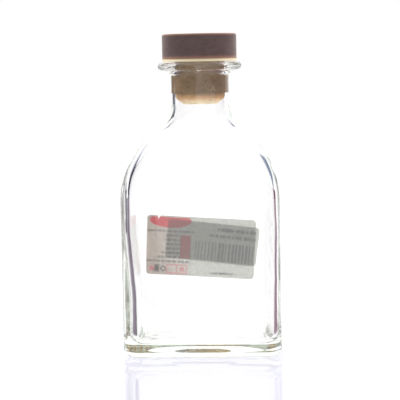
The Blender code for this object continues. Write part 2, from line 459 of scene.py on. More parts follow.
def printed_rows() -> bpy.types.NodeTree:
    """Plain broken rules that stand where a sticker has its small print.

    Returns:
        The group, with the place, the four edges, Pitch, Dashes and the output Mask.
    """
    row_shift, finer, line_fade = 0.37, 1.7, 0.07
    tall_low, tall_high, flat_low, flat_high = 0.1, 0.78, 0.34, 0.54
    dash_from, dash_to, start_seed, longest_start = 0.4, 0.48, 12.9, 0.5

    def fill(graph: Graph, given: Sockets) -> Sockets:
        """Rows at an even pitch, broken into dashes of uneven length and height, that start unevenly.

        Args:
            graph: the group's graph.
            given: the group's inputs by name.

        Returns:
            The group's outputs by name.
        """
        x, z = given["X"], given["Z"]
        across = graph.band(x, given["Left"], given["Right"], Border.SOFT.value)
        upward = graph.band(z, given["Low"], given["High"], Border.CRISP.value)
        rows = graph.math("DIVIDE", graph.math("SUBTRACT", z, given["Low"]), given["Pitch"])
        number, inside = graph.math("FLOOR", rows), graph.math("FRACT", rows)
        spot = graph.vector(x, graph.product(number, row_shift))
        dashes = graph.noise(spot, given["Dashes"], detail=1.0)
        heights = graph.noise(spot, graph.product(given["Dashes"], finer), detail=1.0)
        low = graph.span(heights, *NOISE_MIDDLE, tall_low, flat_low)
        high = graph.span(heights, *NOISE_MIDDLE, tall_high, flat_high)
        line = graph.band(inside, low, high, line_fade)
        draw = graph.math("SINE", graph.product(number, start_seed))
        start = graph.span(draw, -1.0, 1.0, 0.0, longest_start)
        width = graph.math("SUBTRACT", given["Right"], given["Left"])
        first = graph.math("ADD", given["Left"], graph.product(width, start))
        kept = graph.span(x, first, graph.math("ADD", first, Border.SOFT.value))
        return {"Mask": graph.product(across, upward, line, graph.span(dashes, dash_from, dash_to), kept)}

    return group("printed_rows", PRINT_EDGES | {"Pitch": 0.002, "Dashes": 900.0}, ("Mask",), fill)


def printed_bars() -> bpy.types.NodeTree:
    """Plain upright bars of uneven width.

    Returns:
        The group, with the place, the four edges, Pitch and the output Mask.
    """
    thinnest, thickest = 0.28, 0.72

    def fill(graph: Graph, given: Sockets) -> Sockets:
        """One bar in each column, as wide as the column's own number says.

        Args:
            graph: the group's graph.
            given: the group's inputs by name.

        Returns:
            The group's outputs by name.
        """
        across = graph.band(given["X"], given["Left"], given["Right"], Border.CRISP.value)
        upward = graph.band(given["Z"], given["Low"], given["High"], Border.CRISP.value)
        column = graph.math("DIVIDE", given["X"], given["Pitch"])
        number, inside = graph.math("FLOOR", column), graph.math("FRACT", column)
        draw = graph.node("ShaderNodeTexWhiteNoise", {"W": number}, noise_dimensions="1D").outputs["Value"]
        width = graph.span(draw, 0.0, 1.0, thinnest, thickest)
        return {"Mask": graph.product(across, upward, graph.math("LESS_THAN", inside, width))}

    return group("printed_bars", PRINT_EDGES | {"Pitch": 0.0018}, ("Mask",), fill)


def new_material(name: str) -> tuple[bpy.types.Material, Graph, bpy.types.Node]:
    """A node material with its surface shader.

    Args:
        name: the material's name.

    Returns:
        The material, its graph and its Principled BSDF.
    """
    material = bpy.data.materials.new(name)
    material.use_nodes = True
    graph = Graph(material.node_tree)
    return material, graph, material.node_tree.nodes["Principled BSDF"]


@dataclass(frozen=True)
class GlassFinish:
    """Clear soda glass with a faint green depth, fine smears and a slightly uneven skin."""

    name: str = "clear_glass"
    refraction: float = 1.51
    tint: Colour = (0.80, 0.90, 0.74)
    tint_density: float = 4.0
    smear_stretch: Sequence[float] = (1.0, 1.0, 0.35)
    smear_scale: float = 160.0
    smear_range: Span = (0.55, 0.8)
    smear_roughness: float = 0.012
    skin_stretch: Sequence[float] = (1.0, 1.0, 0.5)
    skin_scale: float = 90.0
    skin_height: float = 0.000004

    def make(self) -> bpy.types.Material:
        """Builds the material.

        Returns:
            The material.
        """
        material, graph, surface = new_material(self.name)
        smears = graph.noise(graph.stretched(graph.place(), self.smear_stretch), self.smear_scale, detail=4.0)
        skin = graph.noise(graph.stretched(graph.place(), self.skin_stretch), self.skin_scale, detail=1.0)
        graph.fill(surface, {
            "Base Color": WHITE,
            "Roughness": graph.span(smears, *self.smear_range, 0.0, self.smear_roughness),
            "Metallic": 0.0,
            "IOR": self.refraction,
            "Transmission Weight": 1.0,
            "Normal": graph.relief(skin, self.skin_height),
        })
        depth = graph.node("ShaderNodeVolumeAbsorption", {"Color": self.tint, "Density": self.tint_density})
        graph.show(depth.outputs[0], "Volume")
        return material


@dataclass(frozen=True)
class WoodFinish:
    """Fine-grained turned wood, stained dark, with painted light: a light cream lower edge and a reddish band above
    it, where light from below catches the head, and a reddish painted rim light at the top edge.
    """

    name: str = "turned_wood"
    stain: Colour = tone(92, 73, 71)
    deep_stain: Colour = tone(84, 65, 62)
    # painted light: the light cream colour of the lower edge, and the reddish colour of the painted rim light
    plain_paper_and_lit_wood: Colour = tone(255, 242, 204)
    rim: Colour = tone(186, 134, 108)
    ring_stretch: Sequence[float] = (1.0, 1.0, 2.2)
    ring_scale: float = 260.0
    ring_rough: float = 0.6
    ring_range: Span = (0.35, 0.7)
    ring_height: float = 0.00004
    ring_relief: float = 0.6
    mottle_scale: float = 70.0
    mottle_strength: float = 0.16
    dot_scale: float = 1500.0
    dot_size: float = 0.3
    dot_share: float = 0.2
    # where the reddish painted rim light lies at the top edge, and how strongly it shows
    rim_depth: float = 0.0012
    rim_share: float = 0.75
    # how far up from the underside the painted light of the lower edge and its reddish band reach
    painted_light_from: float = 0.0007
    painted_light_to: float = 0.0015
    fade_to: float = 0.0034
    roughness: float = 0.55
    roughness_range: float = 0.12
    sheen: float = 0.4
    sheen_roughness: float = 0.4
    sheen_tint: Colour = (1.0, 0.82, 0.76)

    def make(self, low: float, top: float) -> bpy.types.Material:
        """Builds the material.

        Args:
            low: height of the head's underside, where the painted light on the lower edge starts.
            top: height of the head's top, whose edge carries a reddish painted rim light.

        Returns:
            The material.
        """
        material, graph, surface = new_material(self.name)
        place = graph.place()
        height = graph.axes(place)[2]
        rings = graph.noise(graph.stretched(place, self.ring_stretch), self.ring_scale, 4.0, rough=self.ring_rough)
        grain = graph.mix(graph.span(rings, *self.ring_range), self.stain, self.deep_stain)
        shade = use(graph, mottle(), Scale=self.mottle_scale, Strength=self.mottle_strength).outputs["Shade"]
        dots = use(graph, pits(), Scale=self.dot_scale, Size=self.dot_size).outputs["Mask"]
        colour = graph.mix(graph.product(dots, self.dot_share), graph.shaded(grain, shade), self.deep_stain)
        # painted rim light: a reddish band along the top edge
        wear_and_rim_light = graph.span(height, top - self.rim_depth, top, 0.0, self.rim_share)
        colour = graph.mix(wear_and_rim_light, colour, self.rim)
        # painted light from below: a reddish band fading up from the lower edge, then a light cream lower edge
        fading = graph.span(height, low + self.painted_light_from, low + self.fade_to, self.rim_share, 0.0)
        colour = graph.mix(fading, colour, self.rim)
        pale = graph.span(height, low + self.painted_light_from, low + self.painted_light_to, 1.0, 0.0)
        roughest = self.roughness + self.roughness_range
        graph.fill(surface, {
            "Base Color": graph.mix(pale, colour, self.plain_paper_and_lit_wood),
            "Roughness": graph.span(rings, *NOISE_MIDDLE, self.roughness, roughest),
            "Sheen Weight": self.sheen,
            "Sheen Roughness": self.sheen_roughness,
            "Sheen Tint": self.sheen_tint,
            "Normal": graph.relief(rings, self.ring_height, self.ring_relief),
        })
        return material


@dataclass(frozen=True)
class CorkFinish:
    """Natural cork with dark pits, with painted light at its lower end: amber and light cream colours and a faint glow
    of its own, where light through the neck falls on the chamfer.
    """

    name: str = "natural_cork"
    body: Colour = tone(176, 148, 118)
    # painted light: the amber and light cream colours of the lower end
    amber: Colour = tone(255, 204, 150)
    pale: Colour = tone(255, 232, 194)
    pit: Colour = tone(84, 66, 52)
    broad_scale: float = 75.0
    broad_strength: float = 1.3
    fine_scale: float = 260.0
    fine_strength: float = 0.6
    pit_scale: float = 620.0
    pit_size: float = 0.42
    pit_share: float = 0.6
    pit_depth: float = 0.0002
    pit_relief: float = 0.8
    # how far up the chamfer the painted light reaches, and the strength of the painted glow
    painted_glow_shares: Span = (0.2, 1.0)
    painted_amber_shares: Span = (0.9, 1.5)
    painted_glow_strength: float = 0.3
    roughness: float = 0.9

    def make(self, end: float, chamfer: float) -> bpy.types.Material:
        """Builds the material.

        Args:
            end: height of the cork's lower end.
            chamfer: height of its chamfer.

        Returns:
            The material.
        """
        material, graph, surface = new_material(self.name)
        height = graph.axes(graph.place())[2]
        broad = use(graph, mottle(), Scale=self.broad_scale, Strength=self.broad_strength).outputs["Shade"]
        fine = use(graph, mottle(), Scale=self.fine_scale, Strength=self.fine_strength).outputs["Shade"]
        dots = use(graph, pits(), Scale=self.pit_scale, Size=self.pit_size).outputs["Mask"]
        # painted light: the lower end and chamfer are coloured amber and light cream
        painted_glow_share, painted_amber_share = (
            graph.span(height, end + start * chamfer, end + stop * chamfer, 1.0, 0.0)
            for start, stop in (self.painted_glow_shares, self.painted_amber_shares)
        )
        plain = graph.mix(painted_glow_share, graph.mix(painted_amber_share, self.body, self.amber), self.pale)
        shaded = graph.shaded(plain, graph.product(broad, fine))
        dotted = graph.mix(graph.product(dots, self.pit_share), shaded, self.pit)
        graph.fill(surface, {
            "Base Color": dotted,
            "Roughness": self.roughness,
            # painted glow: the lower end shines with its own colour, though it is no lamp
            "Emission Color": graph.mix(painted_glow_share, BLACK, dotted),
            "Emission Strength": self.painted_glow_strength,
            "Normal": graph.relief(dots, self.pit_depth, self.pit_relief, True),
        })
        return material


@dataclass(frozen=True)
class GlueFinish:
    """Dried adhesive, yellowish and uneven."""

    name: str = "dried_glue"
    colour: Colour = tone(222, 208, 168)
    mottle_scale: float = 260.0
    mottle_strength: float = 0.6
    shade_range: Span = (0.8, 1.2)
    smoothest: float = 0.4
    roughest: float = 0.7

    def make(self) -> bpy.types.Material:
        """Builds the material.

        Returns:
            The material.
        """
        material, graph, surface = new_material(self.name)
        shade = use(graph, mottle(), Scale=self.mottle_scale, Strength=self.mottle_strength).outputs["Shade"]
        graph.fill(surface, {
            "Base Color": graph.shaded(self.colour, shade),
            "Roughness": graph.span(shade, *self.shade_range, self.smoothest, self.roughest),
        })
        return material


@dataclass(frozen=True)
class Section:
    """A level cut through the glass: a rounded rectangle, or a circle when all three sizes are equal."""

    half_x: float
    half_y: float
    corner: float
    height: float
    evenness: float = 0.0

    def inset(self, by: float, height: float) -> "Section":
        """This outline drawn in on all sides, at another height."""
        return Section(self.half_x - by, self.half_y - by, self.corner - by, height, self.evenness)

    def shrunk(self, share: float, height: float) -> "Section":
        """This outline scaled about the axis, at another height."""
        return Section(self.half_x * share, self.half_y * share, self.corner * share, height, self.evenness)

    def reach(self, angles: np.ndarray) -> np.ndarray:
        """Measures from the axis to the outline.

        Args:
            angles: the directions, in radians.

        Returns:
            The distance in each direction.
        """
        along_x, along_y = np.abs(np.cos(angles)), np.abs(np.sin(angles))
        flat_x, flat_y = self.half_x - self.corner, self.half_y - self.corner
        towards = flat_x * along_x + flat_y * along_y
        inside = np.maximum(towards**2 - flat_x**2 - flat_y**2 + self.corner**2, 0)
        reach = towards + np.sqrt(inside)
        on_side = along_y * self.half_x <= flat_y * along_x
        on_face = ~on_side & (along_x * self.half_y <= flat_x * along_y)
        reach[on_side] = self.half_x / along_x[on_side]
        reach[on_face] = self.half_y / along_y[on_face]
        return reach


def circle(radius: float, height: float) -> Section:
    """A round section."""
    return Section(radius, radius, radius, height, 1.0)


def arc(radius: float, start: float, end: float, steps: int) -> list[Span]:
    """Offsets (sideways, up) along an arc, from one angle to another."""
    angles = [start + (end - start) * i / steps for i in range(steps + 1)]
    return [(radius * math.cos(a), radius * math.sin(a)) for a in angles]


@dataclass(frozen=True)
class Skin:
    """One side of the glass wall from the straight body to the neck."""

    half_x: float
    half_y: float
    corner: float
    neck: float
    arch: float
    front_fillet: float
    side_fillet: float
    start: float
    steps: int = 56
    crowding: float = 1.2

    def rise(self) -> float:
        """Height from the end of the straight sides to the neck."""
        across = self.neck + self.front_fillet - (self.half_x - self.arch)
        return math.sqrt((self.arch + self.front_fillet) ** 2 - across**2)

    def side_arch(self) -> float:
        """Fits the arch seen from the side, which starts and ends level with the front one.

        Returns:
            Its radius.
        """
        past_side = self.neck + self.side_fillet - self.half_y
        squares = self.rise() ** 2 + past_side**2 - self.side_fillet**2
        return squares / (2 * (self.half_y - self.neck))

    def half(self, climb: float, half: float, arch: float, fillet: float) -> float:
        """Follows an arch, then a fillet into the neck.

        Args:
            climb: height above the end of the straight sides.
            half: half the body's width or depth.
            arch: radius of the arch.
            fillet: radius of the fillet.

        Returns:
            Half the width or depth at this climb.
        """
        rise = self.rise()
        if climb <= rise * arch / (arch + fillet):
            return half - arch + math.sqrt(arch**2 - climb**2)
        return self.neck + fillet - math.sqrt(max(fillet**2 - (rise - climb) ** 2, 0.0))

    def shoulder(self) -> list[Section]:
        """Turns the body's rounded rectangle into the neck's circle.

        Returns:
            The sections from the end of the straight sides to the neck.
        """
        rise = self.rise()
        sections = []
        for step in range(self.steps + 1):
            climb = rise * math.sin(QUARTER_TURN * step / self.steps) ** self.crowding
            half_x = self.half(climb, self.half_x, self.arch, self.front_fillet)
            half_y = self.half(climb, self.half_y, self.side_arch(), self.side_fillet)
            share = climb / rise
            ease = share * share * (3 - 2 * share)
            corner = self.corner + (min(half_x, half_y) - self.corner) * ease
            sections.append(Section(half_x, half_y, corner, self.start + climb, ease))
        return sections

    def straight(self, height: float) -> Section:
        """The section of the straight body at this height."""
        return Section(self.half_x, self.half_y, self.corner, height)


def stitched(levels: int, count: int) -> list[tuple[int, ...]]:
    """Joins rings of points that follow one another.

    Args:
        levels: how many rings there are.
        count: how many points each ring has.

    Returns:
        The faces between each ring and the next.
    """
    faces = []
    for low in range(0, (levels - 1) * count, count):
        high = low + count
        faces += [(low + i, low + (i + 1) % count, high + (i + 1) % count, high + i) for i in range(count)]
    return faces


def new_object(name: str, points: Sequence, faces: Sequence, material: bpy.types.Material) -> bpy.types.Object:
    """Makes a smooth object from points and faces.

    Args:
        name: the piece's name.
        points: its corners.
        faces: corner numbers of each face.
        material: its finish.

    Returns:
        The new object, in the scene.
    """
    mesh = bpy.data.meshes.new(name)
    mesh.from_pydata(points, [], faces)
    shape = bmesh.new()
    shape.from_mesh(mesh)
    bmesh.ops.remove_doubles(shape, verts=shape.verts, dist=MERGE_DISTANCE)
    bmesh.ops.recalc_face_normals(shape, faces=shape.faces)
    shape.to_mesh(mesh)
    shape.free()
    mesh.shade_smooth()
    mesh.materials.append(material)
    piece = bpy.data.objects.new(name, mesh)
    bpy.context.scene.collection.objects.link(piece)
    return piece


def settle(piece: bpy.types.Object, body: Body, node: str) -> None:
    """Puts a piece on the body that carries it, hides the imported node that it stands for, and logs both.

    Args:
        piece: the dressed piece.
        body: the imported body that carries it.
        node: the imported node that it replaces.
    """
    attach(piece, body.value)
    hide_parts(node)
    LOG.info("%s: %d faces, on %s, for node %s", piece.name, len(piece.data.polygons), body.value, node)


@dataclass
class GlassBottle:
    """The bottle's glass: foot, body, arched shoulders, neck, collar and lip, hollow inside."""

    width: float = 0.076
    depth: float = 0.046
    corner: float = 0.008
    shoulder_height: float = 0.0750
    shoulder_radius: float = 0.0414
    neck_fillet: float = 0.0142
    side_fillet: float = 0.025
    neck_length: float = 0.0198
    heel: float = 0.0042
    foot_ring: float = 0.0035
    push_up: float = 0.0030
    push_up_shares: Sequence[float] = (0.2, 0.4, 0.6, 0.75, 0.87, 0.95, 1.0)
    floor: float = 0.0065
    floor_fillet: float = 0.0045
    floor_crown: float = 0.0008
    floor_shares: Sequence[float] = (0.95, 0.85, 0.7, 0.5, 0.25)
    wall: float = 0.0032
    inner_corner: float = 0.006
    bore: float = 0.0122
    neck_wall: float = 0.0017
    mouth_rounding: float = 0.0008
    lip_overhang: float = 0.0063
    lip_edge: float = 0.00195
    lip_undercut: float = 0.0007
    undercut_shares: Sequence[float] = (0, 0.33, 0.66)
    undercut_curve: float = 1.5
    collar_step: float = 0.0012
    collar_height: float = 0.0009
    # height, then the thickness of the left and the right side wall there
    side_walls: tuple[tuple[float, float, float], ...] = (
        (0.0, 0.0049, 0.0034), (0.013, 0.0049, 0.0033), (0.024, 0.00495, 0.0032), (0.033, 0.0048, 0.0030),
        (0.040, 0.0044, 0.0030), (0.048, 0.0040, 0.0029), (0.055, 0.0036, 0.0027), (0.063, 0.0034, 0.0027),
        (0.075, 0.0035, 0.0029), (0.090, 0.0034, 0.0030), (0.106, 0.0032, 0.0032),
    )
    wall_blend: float = 0.004
    wall_falloff: int = 3
    wall_heights: tuple[float, float, int] = (-0.02, 0.14, 641)
    ripple_height: float = 0.00003
    # share, waves up, waves along the depth, start
    ripples: tuple[tuple[float, float, float, float], ...] = (
        (1.0, 290, 90, 0.7), (0.6, 520, -140, 1.9), (0.4, 910, 260, 0.0),
    )
    ripple_end: float = 0.03
    ripple_fade: float = 0.02
    straight_step: float = 0.0015
    side_steps: int = 8
    corner_steps: int = 26
    face_steps: int = 18
    heel_steps: int = 16
    collar_steps: int = 6
    lip_steps: int = 24
    mouth_steps: int = 8
    fillet_steps: int = 14
    finish: GlassFinish = GlassFinish()

    def outer(self) -> Skin:
        """Sizes the outside of the wall.

        Returns:
            That side.
        """
        return Skin(
            self.width / 2, self.depth / 2, self.corner, self.bore + self.neck_wall,
            self.shoulder_radius, self.neck_fillet, self.side_fillet, self.shoulder_height,
        )

    def inner(self) -> Skin:
        """Sizes the inside of the wall.

        Returns:
            That side.
        """
        return Skin(
            self.width / 2 - self.wall, self.depth / 2 - self.wall, self.inner_corner, self.bore,
            self.shoulder_radius - self.wall, self.neck_fillet + self.neck_wall,
            self.side_fillet + self.neck_wall, self.shoulder_height,
        )

    def lip_top(self) -> float:
        """Height of the mouth."""
        return self.shoulder_height + self.outer().rise() + self.neck_length

    def angles(self, evenness: float) -> np.ndarray:
        """Spreads the points of a ring.

        Args:
            evenness: 0 crowds them at the corners, 1 spreads them evenly as round the neck.

        Returns:
            Their directions, in radians.
        """
        low = math.atan2(self.depth / 2 - self.corner, self.width / 2)
        high = math.atan2(self.depth / 2, self.width / 2 - self.corner)
        spans = ((0.0, low, self.side_steps), (low, high, self.corner_steps), (high, QUARTER_TURN, self.face_steps))
        crowded = np.concatenate([np.linspace(a, b, n, endpoint=False) for a, b, n in spans])
        even = np.linspace(0, QUARTER_TURN, len(crowded), endpoint=False)
        quarter = crowded + (even - crowded) * evenness
        mirrored = math.pi - np.concatenate([[QUARTER_TURN], quarter[:0:-1]])
        half = np.concatenate([quarter, mirrored])
        return np.concatenate([half, half + math.pi])

    def foot(self) -> list[Section]:
        """Shapes the underside.

        Returns:
            The sections from the middle of the push-up, over the flat ring, round the heel to the sides.
        """
        skin = self.outer()
        ring_outer = skin.straight(0).inset(self.heel, 0)
        corner = max(ring_outer.corner, self.foot_ring)
        ring_inner = Section(ring_outer.half_x - self.foot_ring, ring_outer.half_y - self.foot_ring, corner, 0)
        domed = [ring_inner.shrunk(s, self.push_up * (1 - s**2)) for s in self.push_up_shares]
        heel = [
            skin.straight(0).inset(self.heel - out, self.heel + up)
            for out, up in arc(self.heel, -QUARTER_TURN, 0, self.heel_steps)
        ]
        return domed + heel

    def sides(self, skin: Skin, low: float, high: float) -> list[Section]:
        """Sections up a straight side, between its two ends."""
        count = max(int((high - low) / self.straight_step), 2)
        return [skin.straight(low + (high - low) * i / count) for i in range(1, count)]

    def lip(self) -> list[Section]:
        """Shapes the collar, the lip and the mouth.

        Returns:
            The sections from the collar's foot, out round the lip's edge and in over the mouth to the bore.
        """
        neck, top = self.bore + self.neck_wall, self.lip_top()
        radius = neck + self.lip_overhang - self.lip_edge
        slope_end = top - 2 * self.lip_edge - self.lip_undercut
        collar_low = slope_end - self.collar_height
        collar = neck + self.collar_step
        rising = [
            circle(collar - self.collar_step * math.cos(a), collar_low - self.collar_step * (1 - math.sin(a)))
            for a in np.linspace(0, QUARTER_TURN, self.collar_steps)
        ]
        slope = [
            circle(collar + (radius - collar) * s, slope_end + self.lip_undercut * s**self.undercut_curve)
            for s in self.undercut_shares
        ]
        edge = [
            circle(radius + out, top - self.lip_edge + up)
            for out, up in arc(self.lip_edge, -QUARTER_TURN, QUARTER_TURN, self.lip_steps)
        ]
        mouth = [
            circle(self.bore + self.mouth_rounding + out, top - self.mouth_rounding + up)
            for out, up in arc(self.mouth_rounding, QUARTER_TURN, math.pi, self.mouth_steps)
        ]
        return rising + slope + edge + mouth

    def hollow(self) -> list[Section]:
        """Shapes the inside.

        Returns:
            The sections down from the bore to the middle of the floor.
        """
        skin = self.inner()
        fillet = [
            skin.straight(0).inset(self.floor_fillet - out, self.floor + self.floor_fillet + up)
            for out, up in arc(self.floor_fillet, 0, -QUARTER_TURN, self.fillet_steps)
        ]
        floor = [fillet[-1].shrunk(s, self.floor + self.floor_crown * (1 - s**2)) for s in self.floor_shares]
        straight = self.sides(skin, self.floor + self.floor_fillet, self.shoulder_height)
        return skin.shoulder()[::-1] + straight[::-1] + fillet + floor

    def uneven(self, points: np.ndarray) -> np.ndarray:
        """Blown glass isn't equally thick: draws the side walls in low down, and adds faint ripples.

        Args:
            points: the points of a ring inside the glass.

        Returns:
            The moved points.
        """
        x, y, z = points.T
        half = self.width / 2 - self.wall
        heights, left_walls, right_walls = np.array(self.side_walls).T
        fine = np.linspace(*self.wall_heights)
        nearness = np.exp(-0.5 * ((z[:, None] - fine[None]) / self.wall_blend) ** 2)
        nearness /= nearness.sum(axis=1, keepdims=True)
        left, right = (nearness @ (np.interp(fine, heights, walls) - self.wall) for walls in (left_walls, right_walls))
        waves = sum(share * np.sin(up * z + along * y + start) for share, up, along, start in self.ripples)
        share = np.clip(np.abs(x) / half, 0, 1) ** self.wall_falloff
        low = np.clip((self.shoulder_height + self.ripple_end - z) / self.ripple_fade, 0, 1)
        inward = np.where(x < 0, left, right) + self.ripple_height * waves * low
        return np.stack([x - np.sign(x) * inward * share, y, z], axis=1)

    def ring(self, section: Section) -> np.ndarray:
        """Sets points round one section.

        Args:
            section: the level cut.

        Returns:
            The points, one to a row.
        """
        angles = self.angles(section.evenness)
        reach = section.reach(angles)
        return np.stack([reach * np.cos(angles), reach * np.sin(angles), np.full_like(reach, section.height)], 1)

    def build(self) -> bpy.types.Object:
        """Builds the mesh and dresses it.

        Returns:
            The glass, one closed body.
        """
        skin = self.outer()
        outside = self.foot() + self.sides(skin, self.heel, self.shoulder_height) + skin.shoulder() + self.lip()
        rings = [self.ring(section) for section in outside]
        rings += [self.uneven(self.ring(section)) for section in self.hollow()]
        count = len(rings[0])
        points = np.concatenate(rings + [[[0, 0, self.push_up]], [[0, 0, self.floor + self.floor_crown]]])
        last, under, over = (len(rings) - 1) * count, len(points) - 2, len(points) - 1
        faces = stitched(len(rings), count)
        faces += [(i, (i + 1) % count, under) for i in range(count)]
        faces += [(last + i, last + (i + 1) % count, over) for i in range(count)]
        piece = new_object("bottle_glass", points.tolist(), faces, self.finish.make())
        settle(piece, Body.BOTTLE, "bottle")
        return piece


def turned(
    name: str, outline: Sequence[Span], base: float, material: bpy.types.Material, steps: int = 160
) -> bpy.types.Object:
    """Spins an outline of (radius, height) points whose ends lie on the axis.

    Args:
        name: the piece's name.
        outline: the points, from the axis and back to it.
        base: height added to all of them.
        material: the piece's finish.
        steps: how many times each point is set down round the axis.

    Returns:
        The turned piece.
    """
    turns = [FULL_TURN * i / steps for i in range(steps)]
    points = [(r * math.cos(turn), r * math.sin(turn), base + height) for r, height in outline for turn in turns]
    piece = new_object(name, points, stitched(len(outline), steps), material)
    piece.data.set_sharp_from_angle(angle=SHARP_ANGLE)
    return piece


@dataclass
class Stopper:
    """The turned wooden head with its cork glued in."""

    lip_top: float
    bore: float
    lip_radius: float
    gap: float = 0.0003
    step: float = 0.0002
    head_height: float = 0.0132
    head_setback: float = 0.0023
    head_edge: float = 0.0011
    head_steps: int = 12
    foot_edge: float = 0.0003
    foot_steps: int = 8
    socket: float = 0.003
    glue: float = 0.0008
    glue_setback: float = 0.0009
    glue_steps: int = 8
    reach: float = 0.0201
    chamfer: float = 0.0037
    chamfer_end: float = 1.15
    bulge_shares: Sequence[Span] = ((0.2, 0.72), (0.07, 0.92))
    top_chamfer: float = 0.0004
    rounding: float = 0.0006
    rounding_steps: int = 6
    pressed_from: float = 0.0052
    pressed_to: float = 0.0062
    press: float = 0.00002
    looseness: float = 0.00012
    head_finish: WoodFinish = WoodFinish()
    cork_finish: CorkFinish = CorkFinish()
    glue_finish: GlueFinish = GlueFinish()

    def head(self) -> bpy.types.Object:
        """Turns the wooden disc, with softened edges and a socket below.

        Returns:
            The head.
        """
        radius, socket = self.lip_radius - self.head_setback, self.bore
        low, high = self.gap + self.foot_edge, self.gap + self.head_height - self.head_edge
        outline = [
            (0, self.gap + self.socket), (socket, self.gap + self.socket),
            (socket, self.gap + self.step), (socket + self.step, self.gap),
        ]
        foot = arc(self.foot_edge, -QUARTER_TURN, 0, self.foot_steps)
        outline += [(radius - self.foot_edge + out, low + up) for out, up in foot]
        edge = arc(self.head_edge, 0, QUARTER_TURN, self.head_steps)
        outline += [(radius - self.head_edge + out, high + up) for out, up in edge]
        outline.append((0, self.gap + self.head_height))
        under = self.lip_top + self.gap
        finish = self.head_finish.make(under, under + self.head_height)
        piece = turned("turned_head", outline, self.lip_top, finish)
        settle(piece, Body.STOPPER, "stopper_head")
        return piece

    def cork(self) -> bpy.types.Object:
        """Shapes the cork, with a long chamfer at the end that goes in first and a bulge where it is pressed.

        Returns:
            The cork.
        """
        radius, loose = self.bore + self.press, self.bore - self.looseness
        unpressed = radius - 2 * self.press
        end, top = -self.reach, self.socket - self.glue - self.gap
        flat = radius - self.chamfer - self.rounding
        rounded = arc(self.rounding, -QUARTER_TURN, -QUARTER_TURN / 2, self.rounding_steps)
        outline = [(0, end), (flat, end)] + [(flat + out, end + self.rounding + up) for out, up in rounded]
        outline += [(radius - self.chamfer * a, end + self.chamfer * b) for a, b in self.bulge_shares]
        outline += [
            (unpressed, end + self.chamfer * self.chamfer_end), (unpressed, end + self.pressed_from),
            (radius, end + self.pressed_from + self.step), (radius, -self.pressed_to),
            (loose, self.step - self.pressed_to), (loose, self.gap),
            (loose, top - self.top_chamfer), (loose - self.top_chamfer, top), (0, top),
        ]
        finish = self.cork_finish.make(self.lip_top - self.reach, self.chamfer)
        piece = turned("cork_plug", outline, self.lip_top, finish)
        settle(piece, Body.STOPPER, "cork_shank")
        return piece

    def glue_film(self) -> bpy.types.Object:
        """Shapes the adhesive between the cork and the head, squeezed out to a rounded rim.

        Returns:
            The film.
        """
        low, half = self.socket - self.glue, self.glue / 2
        middle = self.bore - self.gap - self.glue_setback - half
        rim = arc(half, -QUARTER_TURN, QUARTER_TURN, self.glue_steps)
        outline = [(0, low)] + [(middle + out, low + half + up) for out, up in rim] + [(0, self.socket)]
        piece = turned("glue_film", outline, self.lip_top, self.glue_finish.make())
        settle(piece, Body.STOPPER, "glue_disc")
        return piece


@dataclass(frozen=True)
class StickerPlace:
    """Where a sticker lies on the bottle's back, seen from the front."""

    width: float
    height: float
    shift: float
    level: float
    tilt: float
    back: float

    def matrix(self) -> Matrix:
        """From the sticker's own place to the bottle's."""
        return Matrix.Translation((self.shift, self.back, self.level)) @ Matrix.Rotation(self.tilt, 4, "Y")

    def seen_on(self, other: "StickerPlace") -> Edges:
        """How this sticker lies on another one.

        Args:
            other: the sticker whose own place is the start.

        Returns:
            The cosine and sine of the turn between them, and the shift across and up.
        """
        turn = other.tilt - self.tilt
        across, upward = other.shift - self.shift, other.level - self.level
        c, s = math.cos(self.tilt), math.sin(self.tilt)
        return math.cos(turn), math.sin(turn), across * c - upward * s, across * s + upward * c


class Press:
    """Places plain print on a sticker, in shares of its half sizes."""

    def __init__(self, graph: Graph, place: StickerPlace, x: Value, z: Value) -> None:
        """Keeps the sticker's size and the place on it.

        Args:
            graph: the material's graph.
            place: the sticker's place and size.
            x: how far across the sticker a point is, from its middle.
            z: how far up it is.
        """
        self.graph, self.x, self.z = graph, x, z
        self.half_x, self.half_z = place.width / 2, place.height / 2

    def inputs(self, edges: Edges) -> dict[str, Value]:
        """The inputs that every group of straight print takes.

        Args:
            edges: left, right, lower and upper edge, each from -1 to 1.

        Returns:
            The inputs by name.
        """
        left, right, low, high = edges
        across = {"X": self.x, "Left": left * self.half_x, "Right": right * self.half_x}
        return across | {"Z": self.z, "Low": low * self.half_z, "High": high * self.half_z}

    def block(self, edges: Edges) -> Socket:
        """A plain rectangle between these edges."""
        return use(self.graph, printed_block(), **self.inputs(edges)).outputs["Mask"]

    def bars(self, edges: Edges, pitch: float) -> Socket:
        """Upright bars between these edges, at this pitch in metres."""
        return use(self.graph, printed_bars(), **self.inputs(edges), Pitch=pitch).outputs["Mask"]

    def rows(self, edges: Edges, pitch: float, dashes: float) -> Socket:
        """Rules between these edges, at this pitch in metres, broken as finely as the last number says."""
        return use(self.graph, printed_rows(), **self.inputs(edges), Pitch=pitch, Dashes=dashes).outputs["Mask"]

    def oval(self, shape: Edges) -> Socket:
        """Prints a plain oval.

        Args:
            shape: how far across and up its middle lies, and its half sizes.

        Returns:
            Its mask.
        """
        x, z, half_x, half_z = shape
        sizes = {"X": self.x, "Middle_X": x * self.half_x, "Half_X": half_x * self.half_x}
        sizes |= {"Z": self.z, "Middle_Z": z * self.half_z, "Half_Z": half_z * self.half_z}
        return use(self.graph, printed_oval(), **sizes).outputs["Mask"]


INK = tone(74, 74, 76)


